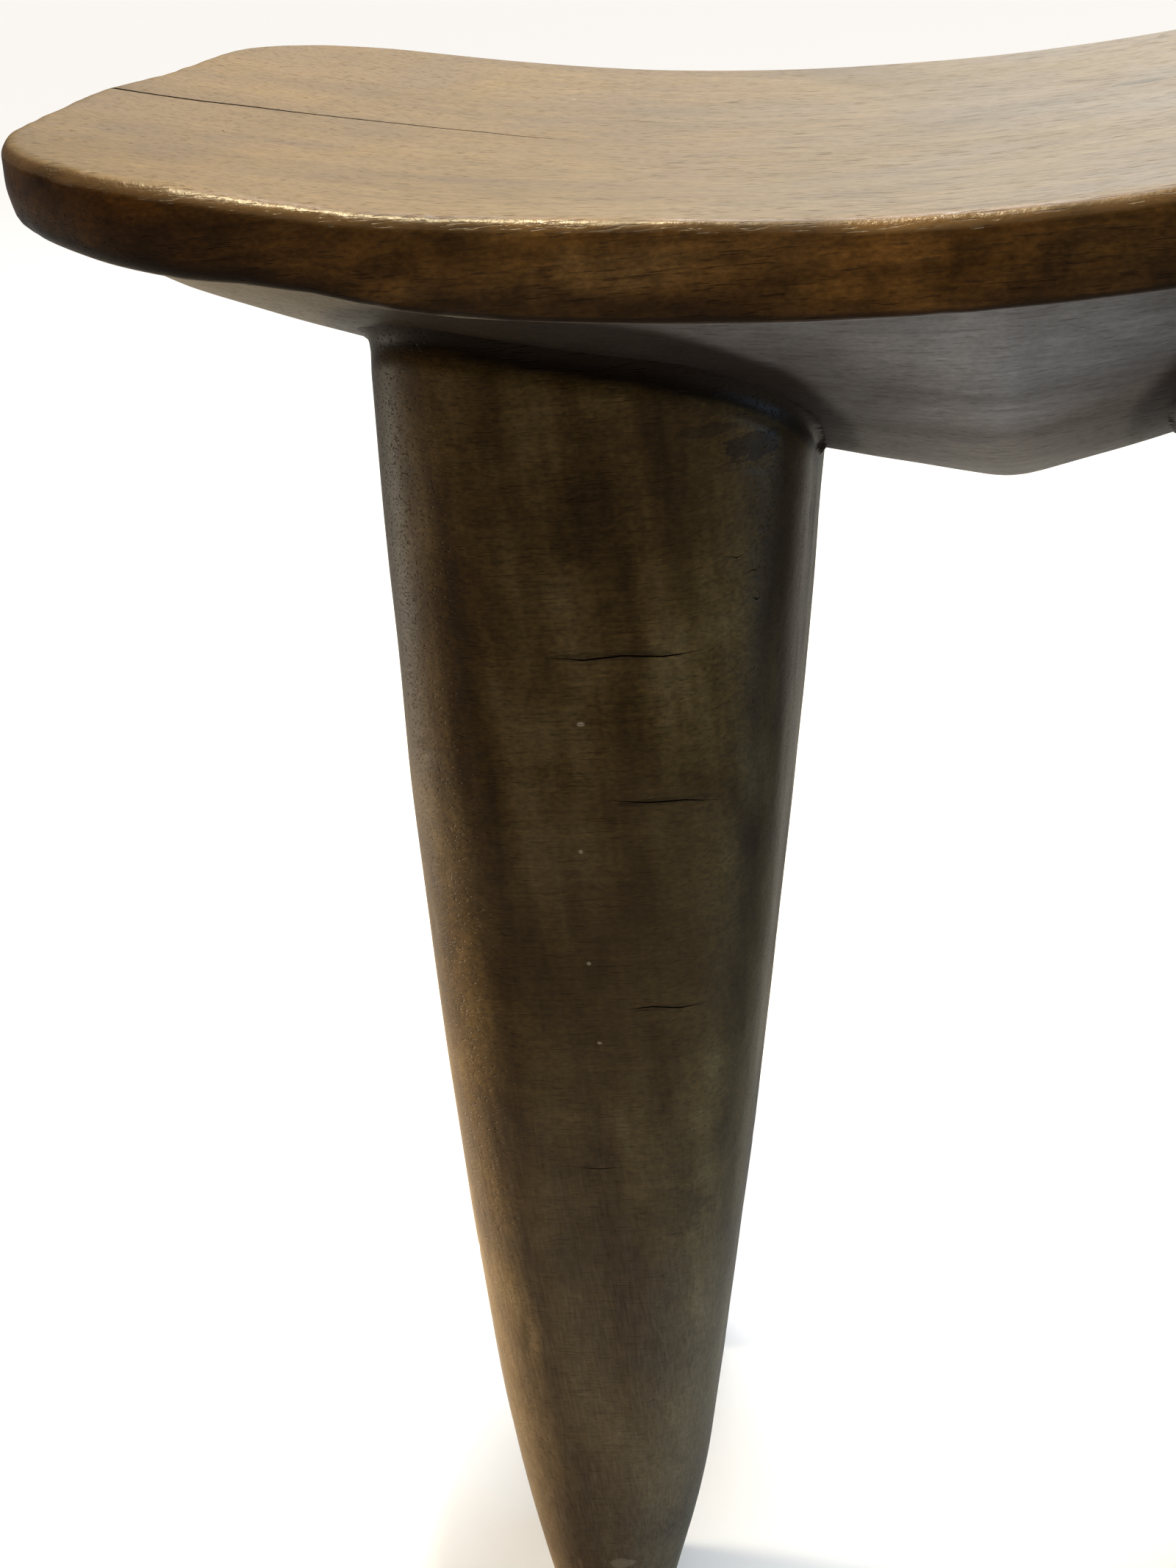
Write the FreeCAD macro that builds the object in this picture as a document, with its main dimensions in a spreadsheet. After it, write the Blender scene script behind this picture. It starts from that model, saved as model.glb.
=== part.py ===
import FreeCAD, Part
import math
import os

import Sketcher

# A carved wooden headrest: a dished plank on a keel-shaped belly, with four splayed legs.
# The real one is cut from a single block, so the members meet face to face with no fixings.
# Frame: +X along the seat, +Y towards the back, +Z up, origin on the floor under the middle.

DIMENSIONS = {
    # the plank
    "half_length": 172.5,
    "half_width": 103.0,
    "seat_height": 315.0,       # lowest point of the dish, above the floor
    "dish_radius": 607.0,
    "plank_thickness": 14.0,
    "side_bow_radius": 2400.0,  # the long sides bulge slightly
    "end_bow_radius": 650.0,
    "corner_radius": 45.0,
    "top_arris": 4.5,
    "bottom_arris": 1.5,
    # the legs
    "leg_foot_x": 101.5,
    "back_leg_out": 6.0,        # the back pair stands this much further out
    "leg_splay": 0.1096,        # sideways lean, as a slope
    "leg_y": 51.0,
    "foot_width": 13.5,
    "foot_depth": 13.0,
}

# The belly is a shallow hull whose bottom runs as a V from end to end.
# Its arc sections: name, distance from the middle, half width, depth below the plank.
BELLY_STATIONS = [
    ("belly_middle", 0.0, 97.5, 51.5),
    ("belly_haunch", 80.0, 94.5, 32.0),
    ("belly_shoulder", 148.0, 82.0, 19.0),
    ("belly_tip", 167.0, 56.0, 5.5),
]

# Half sizes of a leg at heights between foot and root: name, height, along X, along Y.
LEG_STATIONS = [
    ("ankle", 25.0, 19.3, 17.0),
    ("calf", 90.0, 27.7, 23.5),
    ("thigh", 180.0, 36.2, 30.0),
    ("root", 300.0, 43.0, 34.0),
]

BLANK_BELOW = 30.0   # the plank's blank reaches this far below and above the dish's lowest point
BLANK_ABOVE = 40.0
WIDE = 300.0         # cutting cylinders are this wide across the seat

LEGS = [
    ("leg_front_left", -1, -1),
    ("leg_front_right", 1, -1),
    ("leg_back_left", -1, 1),
    ("leg_back_right", 1, 1),
]

doc = FreeCAD.newDocument("headrest")


def make_sheet():
    """Put every driving dimension in one spreadsheet, each under its own alias."""
    sheet = doc.addObject("Spreadsheet::Sheet", "Dims")
    values = dict(DIMENSIONS)
    for name, distance, width, depth in BELLY_STATIONS:
        values[name + "_x"] = distance
        values[name + "_half_width"] = width
        values[name + "_depth"] = depth
    for name, height, width, depth in LEG_STATIONS:
        values[name + "_height"] = height
        values[name + "_width"] = width
        values[name + "_depth"] = depth
    for row, (alias, value) in enumerate(values.items(), start=1):
        sheet.set(f"A{row}", alias)
        sheet.set(f"B{row}", str(value))
        sheet.setAlias(f"B{row}", alias)
    doc.recompute()
    return sheet


def bind(obj, **expressions):
    """Bind properties to expressions; two underscores stand for a dot in the property's path."""
    for path, expression in expressions.items():
        obj.setExpression(path.replace("__", "."), expression)


def upright_cylinder(name, radius, x, y):
    """A cylinder with a vertical axis, tall enough to hold the plank's blank."""
    cylinder = doc.addObject("Part::Cylinder", name)
    cylinder.Height = BLANK_BELOW + BLANK_ABOVE
    bind(cylinder, Radius=radius, Placement__Base__x=x, Placement__Base__y=y,
         Placement__Base__z=f"Dims.seat_height - {BLANK_BELOW}")
    return cylinder


def dish_cylinder(name, radius):
    """A cylinder lying across the seat, on the dish's own axis."""
    cylinder = doc.addObject("Part::Cylinder", name)
    cylinder.Height = WIDE
    across = FreeCAD.Rotation(FreeCAD.Vector(1, 0, 0), 90)
    cylinder.Placement = FreeCAD.Placement(FreeCAD.Vector(0, WIDE / 2, 0), across)
    bind(cylinder, Radius=radius, Placement__Base__z="Dims.seat_height + Dims.dish_radius")
    return cylinder


def fillet(name, base, radius_of_edge):
    """Round those edges of base for which radius_of_edge gives a radius."""
    doc.recompute()
    rounded = doc.addObject("Part::Fillet", name)
    rounded.Base = base
    edges = []
    for index, edge in enumerate(base.Shape.Edges, start=1):
        radius = radius_of_edge(edge)
        if radius:
            edges.append((index, radius, radius))
    rounded.Edges = edges
    doc.recompute()
    return rounded


def make_seat(sheet, under_zone):
    """The dished plank: bowed sides, round corners, and an even thickness along its arc."""
    outline = doc.addObject("Part::MultiCommon", "seat_outline")
    outline.Shapes = [
        upright_cylinder("side_front", "Dims.side_bow_radius", "0",
                         "Dims.side_bow_radius - Dims.half_width"),
        upright_cylinder("side_back", "Dims.side_bow_radius", "0",
                         "Dims.half_width - Dims.side_bow_radius"),
        upright_cylinder("end_left", "Dims.end_bow_radius",
                         "Dims.end_bow_radius - Dims.half_length", "0"),
        upright_cylinder("end_right", "Dims.end_bow_radius",
                         "Dims.half_length - Dims.end_bow_radius", "0"),
    ]

    def corner(edge):
        start, end = (vertex.Point for vertex in (edge.Vertexes[0], edge.Vertexes[-1]))
        upright = abs(start.z - end.z) > BLANK_BELOW and abs(start.y) > sheet.half_width / 2
        return sheet.corner_radius if upright else 0

    blank = fillet("seat_blank", outline, corner)
    bent = doc.addObject("Part::Common", "seat_bent")
    bent.Base = blank
    bent.Tool = under_zone
    dished = doc.addObject("Part::Cut", "seat_dished")
    dished.Base = bent
    dished.Tool = dish_cylinder("dish_top", "Dims.dish_radius")

    axis_height = sheet.seat_height + sheet.dish_radius

    def arris(edge):
        reach = [math.hypot(v.Point.x, v.Point.z - axis_height) for v in edge.Vertexes]
        if all(abs(r - sheet.dish_radius) < 0.01 for r in reach):
            return sheet.top_arris
        if all(abs(r - sheet.dish_radius - sheet.plank_thickness) < 0.01 for r in reach):
            return sheet.bottom_arris
        return 0

    seat = fillet("seat", dished, arris)
    seat.Label = "seat"
    return seat


def belly_section(sheet, station, side):
    """One arc-shaped section of the belly, across the seat, on the left (-1) or right (+1)."""
    name, x, half, depth = station
    sketch = doc.addObject("Sketcher::SketchObject", f"{name}_section")
    across = FreeCAD.Rotation(FreeCAD.Vector(1, 1, 1), 120)
    sketch.Placement = FreeCAD.Placement(FreeCAD.Vector(0, 0, 0), across)
    dish_rise = sheet.dish_radius - math.sqrt(sheet.dish_radius ** 2 - x ** 2)
    brim = sheet.seat_height - sheet.plank_thickness + dish_rise
    radius = (half ** 2 + depth ** 2) / (2 * depth)
    reach = math.asin(half / radius)
    circle = Part.Circle(FreeCAD.Vector(0, brim - depth + radius, 0), FreeCAD.Vector(0, 0, 1), radius)
    sketch.addGeometry(Part.ArcOfCircle(circle, -math.pi / 2 - reach, -math.pi / 2 + reach))
    sketch.addGeometry(Part.LineSegment(FreeCAD.Vector(-half, brim, 0), FreeCAD.Vector(half, brim, 0)))
    sketch.addConstraint([
        Sketcher.Constraint("Coincident", 0, 1, 1, 1),
        Sketcher.Constraint("Coincident", 0, 2, 1, 2),
        Sketcher.Constraint("Symmetric", 0, 1, 0, 2, -2),
        Sketcher.Constraint("DistanceX", 1, 1, 1, 2, 2 * half),
        Sketcher.Constraint("DistanceY", -1, 1, 1, 2, brim),
        Sketcher.Constraint("Radius", 0, radius),
    ])
    for index, constraint in ((3, "width"), (4, "brim"), (5, "arc")):
        sketch.renameConstraint(index, constraint)
    size = f"Dims.{name}"
    bind(sketch, Placement__Base__x=f"{side} * {size}_x",
         Constraints__width=f"2 * {size}_half_width",
         Constraints__brim="Dims.seat_height - Dims.plank_thickness + Dims.dish_radius"
                           f" - sqrt(Dims.dish_radius ^ 2 - {size}_x ^ 2)",
         Constraints__arc=f"({size}_half_width ^ 2 + {size}_depth ^ 2) / (2 * {size}_depth)")
    return sketch


def make_belly_hull(sheet):
    """The belly before it is fitted under the plank: straight facets between its sections."""
    hull = doc.addObject("Part::Loft", "belly_hull")
    left = [belly_section(sheet, station, -1) for station in reversed(BELLY_STATIONS)]
    right = [belly_section(sheet, station, 1) for station in BELLY_STATIONS[1:]]
    hull.Sections = left + right
    hull.Solid = True
    hull.Ruled = True
    return hull


def make_belly(hull, under_zone):
    """The belly, cut to meet the plank's underside."""
    belly = doc.addObject("Part::Cut", "belly")
    belly.Label = "belly"
    belly.Base = hull
    belly.Tool = under_zone
    return belly


def make_leg(name, side, row, hull, under_zone):
    """A bullet-shaped leg: oval sections on a splayed axis, cut to meet belly and plank."""
    sections = []
    foot_x = "Dims.leg_foot_x" if row < 0 else "(Dims.leg_foot_x + Dims.back_leg_out)"
    for station in ["foot"] + [name_and_sizes[0] for name_and_sizes in LEG_STATIONS]:
        oval = doc.addObject("Part::Ellipse", f"{name}_{station}")
        height = "0" if station == "foot" else f"Dims.{station}_height"
        bind(oval, MajorRadius=f"Dims.{station}_width", MinorRadius=f"Dims.{station}_depth",
             Placement__Base__x=f"{side} * ({foot_x} - Dims.leg_splay * {height})",
             Placement__Base__y=f"{row} * Dims.leg_y", Placement__Base__z=height)
        sections.append(oval)
    billet = doc.addObject("Part::Loft", name + "_billet")
    billet.Sections = sections
    billet.Solid = True
    below_belly = doc.addObject("Part::Cut", name + "_below_belly")
    below_belly.Base = billet
    below_belly.Tool = hull
    leg = doc.addObject("Part::Cut", name)
    leg.Label = name
    leg.Base = below_belly
    leg.Tool = under_zone
    return leg


def check(parts):
    """Stop if any object failed, or if a sub-part isn't one whole valid solid."""
    for obj in doc.Objects:
        if "Invalid" in obj.State or "Error" in obj.State:
            raise RuntimeError(f"{obj.Name} failed: {obj.State}")
    for part in parts:
        if part.Shape.isNull() or not part.Shape.isValid() or len(part.Shape.Solids) != 1:
            raise RuntimeError(f"{part.Label} isn't one valid solid")


def main():
    sheet = make_sheet()
    under_zone = dish_cylinder("under_zone", "Dims.dish_radius + Dims.plank_thickness")
    hull = make_belly_hull(sheet)
    parts = [make_seat(sheet, under_zone), make_belly(hull, under_zone)]
    parts += [make_leg(name, side, row, hull, under_zone) for name, side, row in LEGS]
    doc.recompute()
    check(parts)
    os.makedirs("parts", exist_ok=True)
    for part in parts:
        part.Shape.exportStep(f"parts/{part.Label}.step")
        box = part.Shape.BoundBox
        print(f"{part.Label}: {part.Shape.Volume / 1000:.1f} cm3,"
              f" x {box.XMin:.1f}..{box.XMax:.1f}, y {box.YMin:.1f}..{box.YMax:.1f},"
              f" z {box.ZMin:.1f}..{box.ZMax:.1f}")


main()
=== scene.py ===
import math

import bmesh
import bpy
import numpy as np
from mathutils import Matrix, Vector
from mathutils.kdtree import KDTree


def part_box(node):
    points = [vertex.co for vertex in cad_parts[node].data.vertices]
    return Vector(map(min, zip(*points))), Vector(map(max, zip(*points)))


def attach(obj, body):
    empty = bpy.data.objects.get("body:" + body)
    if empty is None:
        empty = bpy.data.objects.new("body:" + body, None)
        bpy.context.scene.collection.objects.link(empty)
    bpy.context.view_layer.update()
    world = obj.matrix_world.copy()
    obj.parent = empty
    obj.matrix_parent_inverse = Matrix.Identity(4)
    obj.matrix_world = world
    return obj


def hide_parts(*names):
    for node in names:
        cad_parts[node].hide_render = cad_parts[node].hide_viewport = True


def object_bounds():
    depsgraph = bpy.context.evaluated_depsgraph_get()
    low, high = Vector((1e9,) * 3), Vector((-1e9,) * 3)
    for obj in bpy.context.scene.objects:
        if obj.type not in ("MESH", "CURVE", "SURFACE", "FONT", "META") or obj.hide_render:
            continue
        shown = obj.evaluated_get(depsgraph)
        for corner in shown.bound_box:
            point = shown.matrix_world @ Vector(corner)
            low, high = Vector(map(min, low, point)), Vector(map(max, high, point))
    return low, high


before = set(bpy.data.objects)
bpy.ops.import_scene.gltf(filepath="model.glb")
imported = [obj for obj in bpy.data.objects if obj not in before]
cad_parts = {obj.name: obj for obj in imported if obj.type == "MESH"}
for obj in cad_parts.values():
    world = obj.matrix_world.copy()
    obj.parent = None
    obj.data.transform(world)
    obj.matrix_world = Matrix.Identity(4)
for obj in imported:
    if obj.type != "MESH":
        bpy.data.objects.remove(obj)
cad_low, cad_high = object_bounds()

# A carved wooden headrest: a dished plank on a keel-shaped belly, with four splayed legs.
# All sizes are in metres, in the row frame: +X along the seat, +Y to the back, +Z up.

seat_low, seat_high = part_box("seat")
HALF_LENGTH = (seat_high.x - seat_low.x) / 2
HALF_WIDTH = (seat_high.y - seat_low.y) / 2
PLANK = 0.014                       # thickness along the middle
DISH_LOW = seat_low.z + PLANK       # lowest point of the dish
DISH = 0.607                        # radius of the dish
SIDE_BOW = 2.4                      # radius of the long sides
END_BOW = 0.65                      # radius of the ends
CORNER = 0.045
BACK_RISE = 0.0014                  # the dish's back edge stands this much above the even plank

# how far the dish's front edge, and the plank's lower front edge, stand above the even plank
LIP_X = [-0.172, -0.160, -0.150, -0.128, -0.118, -0.106, -0.094, -0.082, -0.070, -0.047,
         -0.036, -0.025, -0.013, 0.0, 0.020, 0.130, 0.172]
LIP = [0.0002, 0.0009, 0.0017, 0.0025, 0.0023, 0.0019, 0.0018, 0.0020, 0.0023, 0.0023,
       0.0019, 0.0016, 0.0012, 0.0011, 0.0011, 0.0012, 0.0006]
BRIM_X = [-0.172, -0.150, -0.128, -0.118, -0.106, -0.094, -0.082, 0.0, 0.020, 0.060]
BRIM = [0.0002, 0.0008, 0.0012, 0.0018, 0.0015, 0.0, -0.0006, -0.0007, -0.0003, 0.0]

# the belly's half width and depth below the plank, at stations along it
BELLY_X = [-0.1700, -0.1600, -0.148, -0.080, 0.0025, 0.085, 0.150, 0.1610, 0.1700]
BELLY_HALF = [0.040, 0.066, 0.082, 0.0945, 0.0975, 0.0945, 0.082, 0.066, 0.040]
BELLY_DEPTH = [-0.0040, 0.0080, 0.0190, 0.0320, 0.0520, 0.0345, 0.0205, 0.0090, -0.0040]
BELLY_END = 0.1685
BELLY_SINK = 0.0065                 # the belly's top is hidden this far up in the plank
KEEL_ROUND = 0.009                  # reach of the smoothing along the belly

LEG_H = [0.0, 0.025, 0.090, 0.180, 0.300, 0.330]           # heights of the leg's stations
LEG_A = [0.0135, 0.0188, 0.0270, 0.0350, 0.0412, 0.0425]   # half size along X
LEG_B = [0.0130, 0.0170, 0.0235, 0.0300, 0.0340, 0.0350]   # half size along Y
LEG_SPLAY = 0.1096                  # sideways lean, as a slope
LEG_ROW = 0.051                     # the legs' distance in front of and behind the middle
LEG_SQUARE = 3.4                    # exponent of the section's superellipse, above the foot
FOOT_SQUARE = 2.3                   # the same at the foot, where it is nearly an oval
LEG_SLIM = 0.999
LEG_INSET = 0.0005                  # the visible legs stand this much nearer the middle
LEG_SINK = 0.004                    # a leg's top is hidden this far up in the belly
FILLET = 0.0020                     # where a leg runs into the belly
GROOVE = 0.0024                     # a cut round the front and back of a leg, just under the belly
FRONT_FOOT = 0.1015
BACK_FOOT = 0.1075
LEGS = [(-1, -1, FRONT_FOOT), (1, -1, FRONT_FOOT), (-1, 1, BACK_FOOT), (1, 1, BACK_FOOT)]

LATTICE = 48
lattice = np.random.default_rng(11).uniform(-1, 1, (LATTICE, LATTICE, LATTICE))


def noise(points, size, seed=0.0):
    """Smooth noise from -1 to 1 at each point; size is the grain in metres, one number or three."""
    offset = (17.3 + seed * 7.13, 5.9 + seed * 3.77, 9.1 + seed * 5.31)
    q = np.asarray(points) / np.asarray(size, float) + offset
    i = np.floor(q).astype(int)
    f = q - i
    f = f * f * (3 - 2 * f)
    out = 0.0
    for dx in (0, 1):
        for dy in (0, 1):
            for dz in (0, 1):
                w = (f[..., 0] if dx else 1 - f[..., 0])
                w = w * (f[..., 1] if dy else 1 - f[..., 1])
                w = w * (f[..., 2] if dz else 1 - f[..., 2])
                corner = [(i[..., axis] + step) % LATTICE for axis, step in enumerate((dx, dy, dz))]
                out = out + w * lattice[corner[0], corner[1], corner[2]]
    return out


def smooth(value, start, end):
    """0 below start, 1 above end, and an even S curve between them."""
    t = np.clip((value - start) / (end - start), 0, 1)
    return t * t * (3 - 2 * t)


def natural(xs, ys):
    """A natural cubic spline through the stations, as a function."""
    xs, ys = np.array(xs), np.array(ys)
    h = np.diff(xs)
    n = len(xs)
    a = np.zeros((n, n))
    r = np.zeros(n)
    a[0, 0] = a[-1, -1] = 1
    for k in range(1, n - 1):
        a[k, k - 1], a[k, k], a[k, k + 1] = h[k - 1], 2 * (h[k - 1] + h[k]), h[k]
        r[k] = 6 * ((ys[k + 1] - ys[k]) / h[k] - (ys[k] - ys[k - 1]) / h[k - 1])
    m = np.linalg.solve(a, r)

    def at(x):
        x = np.clip(x, xs[0], xs[-1])
        k = np.clip(np.searchsorted(xs, x) - 1, 0, n - 2)
        s, e = xs[k + 1] - x, x - xs[k]
        return (m[k] * s ** 3 + m[k + 1] * e ** 3) / (6 * h[k]) \
            + (ys[k] / h[k] - m[k] * h[k] / 6) * s + (ys[k + 1] / h[k] - m[k + 1] * h[k] / 6) * e
    return at


def top_z(x, y=0.0):
    """Height of the dish; its back and front edges were left a little higher."""
    lip = np.interp(x, LIP_X, LIP) * smooth(-y, 0.04, 0.10)
    return DISH_LOW + DISH - np.sqrt(DISH ** 2 - x ** 2) + BACK_RISE * smooth(y, 0.03, 0.10) + lip


def under_z(x):
    """Height of the even plank's underside."""
    r = DISH + PLANK
    return DISH_LOW + DISH - np.sqrt(r ** 2 - x ** 2)


def plank_under_z(x, y):
    """Height of the plank's underside, which isn't quite even along the front edge."""
    return under_z(x) + np.interp(x, BRIM_X, BRIM) * smooth(-y, 0.06, 0.098)


def belly_shape(x):
    """Half width and depth of the belly at x; the keel is rounded off a little."""
    half, depth = 0.0, 0.0
    taps = np.linspace(-1, 1, 9)
    weights = np.cos(taps * math.pi / 2) ** 2
    weights = weights / weights.sum()
    for tap, weight in zip(taps, weights):
        half = half + weight * np.interp(x + tap * KEEL_ROUND, BELLY_X, BELLY_HALF)
        depth = depth + weight * np.interp(x + tap * KEEL_ROUND, BELLY_X, BELLY_DEPTH)
    return half, depth


def belly_z(x, y):
    """Height of the belly's surface under (x, y)."""
    half, depth = belly_shape(x)
    depth = np.where(np.abs(depth) < 1e-5, 1e-5, depth)
    radius = (half ** 2 + depth ** 2) / (2 * np.abs(depth))
    aside = np.minimum(np.abs(y), half)
    drop = np.sqrt(np.maximum(radius ** 2 - aside ** 2, 0)) - (radius - np.abs(depth))
    return under_z(x) - drop * np.sign(depth)


def make_object(name, verts, faces):
    """A mesh object with its doubled points merged and its faces turned outwards."""
    mesh = bpy.data.meshes.new(name)
    mesh.from_pydata([tuple(v) for v in verts], [], faces)
    bm = bmesh.new()
    bm.from_mesh(mesh)
    bmesh.ops.remove_doubles(bm, verts=bm.verts, dist=0.000002)
    bmesh.ops.dissolve_degenerate(bm, edges=bm.edges, dist=0.000001)
    bmesh.ops.recalc_face_normals(bm, faces=bm.faces)
    bm.to_mesh(mesh)
    bm.free()
    obj = bpy.data.objects.new(name, mesh)
    bpy.context.scene.collection.objects.link(obj)
    return obj


def coordinates(mesh):
    co = np.empty(len(mesh.vertices) * 3)
    mesh.vertices.foreach_get("co", co)
    return co.reshape(-1, 3)


def normals(mesh):
    no = np.empty(len(mesh.vertices) * 3)
    mesh.vertex_normals.foreach_get("vector", no)
    return no.reshape(-1, 3)


def push(mesh, distance):
    """Move each vertex along its normal."""
    co = coordinates(mesh) + normals(mesh) * distance[:, None]
    mesh.vertices.foreach_set("co", co.ravel())
    mesh.update()


def paint(mesh, name, red, green, blue):
    """Store three masks per vertex as one colour attribute."""
    layer = mesh.attributes.new(name, "FLOAT_COLOR", "POINT")
    values = np.ones((len(mesh.vertices), 4))
    for channel, mask in enumerate((red, green, blue)):
        values[:, channel] = np.clip(mask, 0, 1)
    layer.data.foreach_set("color", values.ravel())


def bridge(rows, columns):
    """Quads between successive closed rings of the same length."""
    faces = []
    for r in range(rows - 1):
        a, b = r * columns, (r + 1) * columns
        for c in range(columns):
            d = (c + 1) % columns
            faces.append((a + c, a + d, b + d, b + c))
    return faces


# ---------------------------------------------------------------- the plank

def outline(count):
    """Points and outward normals round the plank, evenly spaced."""
    side = np.array([0, HALF_WIDTH - SIDE_BOW])
    end = np.array([HALF_LENGTH - END_BOW, 0])
    gap = end - side
    distance = np.linalg.norm(gap)
    rs, re = SIDE_BOW - CORNER, END_BOW - CORNER
    along = (distance ** 2 + rs ** 2 - re ** 2) / (2 * distance)
    off = math.sqrt(rs ** 2 - along ** 2)
    unit = gap / distance
    corner = max((side + unit * along + s * off * np.array([-unit[1], unit[0]]) for s in (1, -1)),
                 key=lambda p: p[0] + p[1])
    angle_end = math.atan2(*(corner - end)[::-1])
    angle_side = math.atan2(*(corner - side)[::-1])
    phi = np.linspace(0, 2 * math.pi, 80001)
    c, s = np.cos(phi), np.sin(phi)
    fold = np.arctan2(np.abs(s), np.abs(c))
    quad = np.stack([np.abs(c), np.abs(s)], 1)
    long_side = np.where((fold < angle_side)[:, None], corner + CORNER * quad, side + SIDE_BOW * quad)
    points = np.where((fold < angle_end)[:, None], end + END_BOW * quad, long_side)
    points = points * np.sign(np.stack([c, s], 1) + 1e-12)
    length = np.concatenate([[0], np.cumsum(np.linalg.norm(np.diff(points, axis=0), axis=1))])
    wanted = np.linspace(0, length[-1], count, endpoint=False)
    even = np.stack([np.interp(wanted, length, points[:, k]) for k in (0, 1)], 1)
    angle = np.interp(wanted, length, phi)
    return even, np.stack([np.cos(angle), np.sin(angle)], 1)


def make_seat():
    """The dished plank, as rings from the middle of its top, over the rim, to the middle below."""
    count = 940
    edge, out = outline(count)
    at = np.column_stack([edge, np.zeros(count)])
    # the edge wanders by a fraction of a millimetre, as a knife leaves it
    edge = edge + out * (0.0006 * noise(at, 0.035, 1) + 0.0002 * noise(at, 0.008, 2))[:, None]
    # the left end bulges
    edge[:, 0] -= 0.0013 * smooth(-edge[:, 0], 0.12, 0.17)
    round_top = 0.0033 + 0.0007 * noise(at, 0.03, 3) + 0.00025 * noise(at, 0.009, 4)
    ends = smooth(np.abs(edge[:, 0]), 0.105, 0.165)
    round_low = 0.0016 + 0.0005 * noise(at, 0.02, 5) + 0.0024 * ends
    # the rings end on a spine, rounded so that the points that meet there are merged
    spine = np.round(np.clip(edge[:, 0] * 0.52, -0.085, 0.085), 3)
    middle = np.column_stack([spine, np.zeros(count)])
    rings = []
    inner = edge - out * round_top[:, None]
    for t in np.linspace(0, 1, 84)[:-1]:
        flat = middle + (inner - middle) * t
        rings.append(np.column_stack([flat, top_z(flat[:, 0], flat[:, 1])]))
    for a in np.linspace(0, math.pi / 2, 11):
        flat = edge - out * (round_top * (1 - math.sin(a)))[:, None]
        drop = round_top * (1 - math.cos(a))
        rings.append(np.column_stack([flat, top_z(flat[:, 0], flat[:, 1]) - drop]))
    high = top_z(edge[:, 0], edge[:, 1]) - round_top
    under = plank_under_z(edge[:, 0], edge[:, 1])
    low = under + round_low
    for t in np.linspace(0, 1, 10)[1:-1]:
        # the rim swells by a fraction of a millimetre between its arrises
        swell = out * (0.0003 * math.sin(math.pi * t))
        rings.append(np.column_stack([edge + swell, high + (low - high) * t]))
    for a in np.linspace(0, math.pi / 2, 6):
        flat = edge - out * (round_low * (1 - math.cos(a)))[:, None]
        rings.append(np.column_stack([flat, under + round_low * (1 - math.sin(a))]))
    inner = edge - out * round_low[:, None]
    for t in np.linspace(1, 0, 50)[1:]:
        flat = middle + (inner - middle) * t
        rings.append(np.column_stack([flat, plank_under_z(flat[:, 0], flat[:, 1])]))
    obj = make_object("seat_wood", np.concatenate(rings), bridge(len(rings), count))
    mesh = obj.data
    co, no = coordinates(mesh), normals(mesh)
    up = smooth(no[:, 2], 0.75, 0.97)
    down = smooth(-no[:, 2], 0.6, 0.95)
    rim = np.clip(1 - up - down, 0, 1)
    arris = smooth(no[:, 2], 0.12, 0.45) * (1 - smooth(no[:, 2], 0.85, 0.99))
    # tool marks: d is how far each point moves outwards
    d = up * (0.00035 * noise(co, (0.06, 0.03, 0.05), 6)
              + 0.00010 * noise(co, (0.03, 0.0045, 0.01), 7))
    d += rim * (0.00022 * noise(co, (0.025, 0.025, 0.006), 8)
                + 0.00010 * noise(co, (0.008, 0.008, 0.003), 9))
    # small bruises and chips along the worn arris
    chip = smooth(noise(co, (0.006, 0.005, 0.005), 10), 0.60, 0.85)
    fine_chip = smooth(noise(co, (0.0035, 0.0035, 0.0035), 11), 0.4, 0.9)
    d -= arris * (0.00035 * chip + 0.00016 * fine_chip)
    low_edge = smooth(-no[:, 2], 0.15, 0.4) * (1 - smooth(-no[:, 2], 0.8, 0.97))
    d -= low_edge * 0.0003 * smooth(noise(co, 0.006, 12), 0.3, 0.8)
    d += down * 0.0003 * noise(co, (0.03, 0.03, 0.03), 13)
    push(mesh, d)
    # painted shade on the rim's lower arris and lower part, and dark patches at random on the rim; the
    # rim is also darker towards its left end, and the dish at its near left corner
    rise = (co[:, 2] - under_z(co[:, 0])) / PLANK
    shade_and_dirt = 0.5 * low_edge + 0.35 * rim * smooth(noise(co, (0.03, 0.03, 0.008), 15), 0, 0.6)
    ragged = rise + 0.22 * noise(co, (0.016, 0.016, 0.006), 14)
    # painted shadow: the rim's lower part is darker, with a ragged upper border
    shade_and_dirt += 0.50 * rim * (1 - smooth(ragged, 0.08, 0.50))
    # darker towards the rim's left end, and at the dish's near left corner
    shade_and_dirt += 0.52 * rim * smooth(-co[:, 0], 0.100, 0.140)
    shade_and_dirt += 0.40 * up * smooth(-co[:, 0], 0.125, 0.170) * smooth(-co[:, 1], 0.030, 0.090)
    paint(mesh, "zone", up, rim * (1 - 0.25 * arris), down)
    paint(mesh, "wear_and_shade", arris * (0.55 + 0.45 * noise(co, 0.01, 16)), shade_and_dirt, np.zeros(len(co)))
    return obj


# ---------------------------------------------------------------- the belly

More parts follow.
